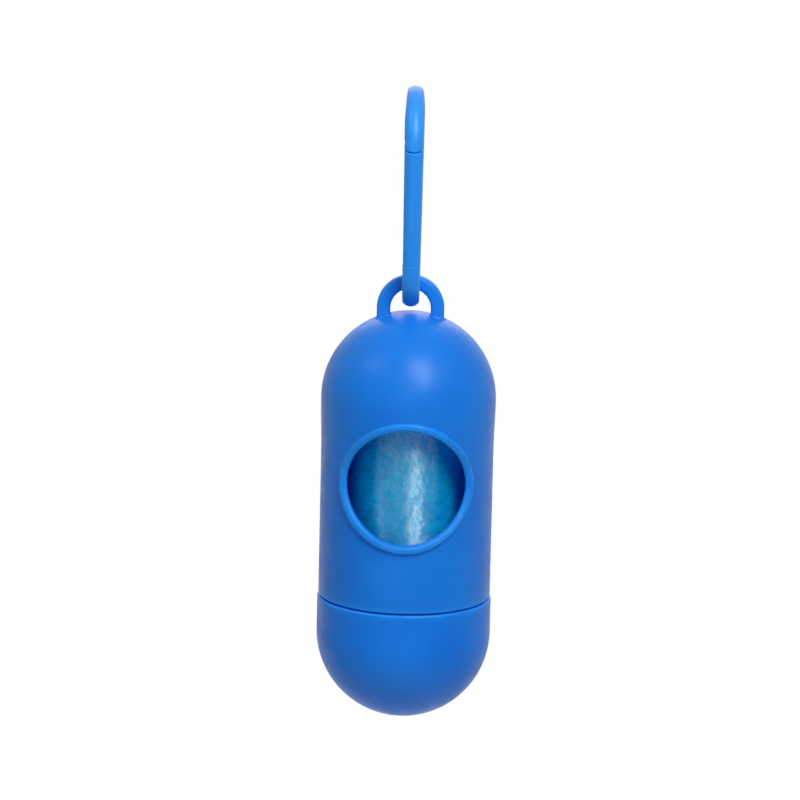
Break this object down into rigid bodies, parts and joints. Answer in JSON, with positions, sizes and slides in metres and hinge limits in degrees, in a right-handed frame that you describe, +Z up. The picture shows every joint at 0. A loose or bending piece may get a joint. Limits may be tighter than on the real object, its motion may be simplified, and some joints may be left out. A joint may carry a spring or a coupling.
{
  "type": "dog waste bag dispenser",
  "caption": "Blue plastic capsule that holds a roll of dog waste bags behind a round window, with a screw cap and a loop on a sprung snap hook.",
  "frame": {"origin": "centre of the hook's top bow, where the object is hung", "axes": "+Z up along the object's length; -Y is the front, with the window and the hook's gate; X runs across the hanging loop"},
  "size_m": [0.04, 0.0406, 0.1467],
  "materials": {
    "case_plastic": "satin moulded polypropylene, saturated blue",
    "cap_plastic": "satin moulded polypropylene, a shade deeper than the case",
    "hook_plastic": "satin moulded nylon, saturated blue",
    "steel": "bright spring steel",
    "cardboard": "matt brown card",
    "film": "thin wrinkled film, pale blue and glossy"
  },
  "bodies": {
    "hook": {"carabiner_frame": "hook_plastic", "gate_pin": "steel"},
    "gate": {"carabiner_gate": "hook_plastic", "gate_spring": "steel"},
    "case": {"body_shell": "case_plastic"},
    "core": {"roll_core": "cardboard"},
    "cap": {"end_cap": "cap_plastic"},
    "bags": {"bag_roll": "film", "leading_bag": "film"}
  },
  "joints": [
    {"name": "gate_swing", "type": "hinge", "parent": "hook", "child": "gate", "pos_m": [0, -0.00771, -0.02509], "axis": [-1, 0, 0], "range_deg": [0, 30], "stiffness_Nm_per_rad": 0.02, "springref_deg": -3.44, "deforming": ["gate_spring"]},
    {"name": "case_swing", "type": "hinge", "parent": "hook", "child": "case", "pos_m": [0, 0, -0.03855], "axis": [0, 1, 0], "range_deg": [-60, 60]},
    {"name": "cap_advance", "type": "slide", "parent": "case", "child": "core", "axis": [0, 0, 1], "range_m": [-0.01, 0]},
    {"name": "cap_turn", "type": "hinge", "parent": "core", "child": "cap", "pos_m": [0, 0, -0.1056], "axis": [0, 0, 1], "range_deg": [-900, 0]},
    {"name": "roll_spin", "type": "hinge", "parent": "core", "child": "bags", "pos_m": [0, 0, -0.1056], "axis": [0, 0, 1], "continuous": true}
  ],
  "couplings": [
    {"joint": "cap_turn", "follows": "cap_advance", "rad_per_m": 1570.8}
  ]
}
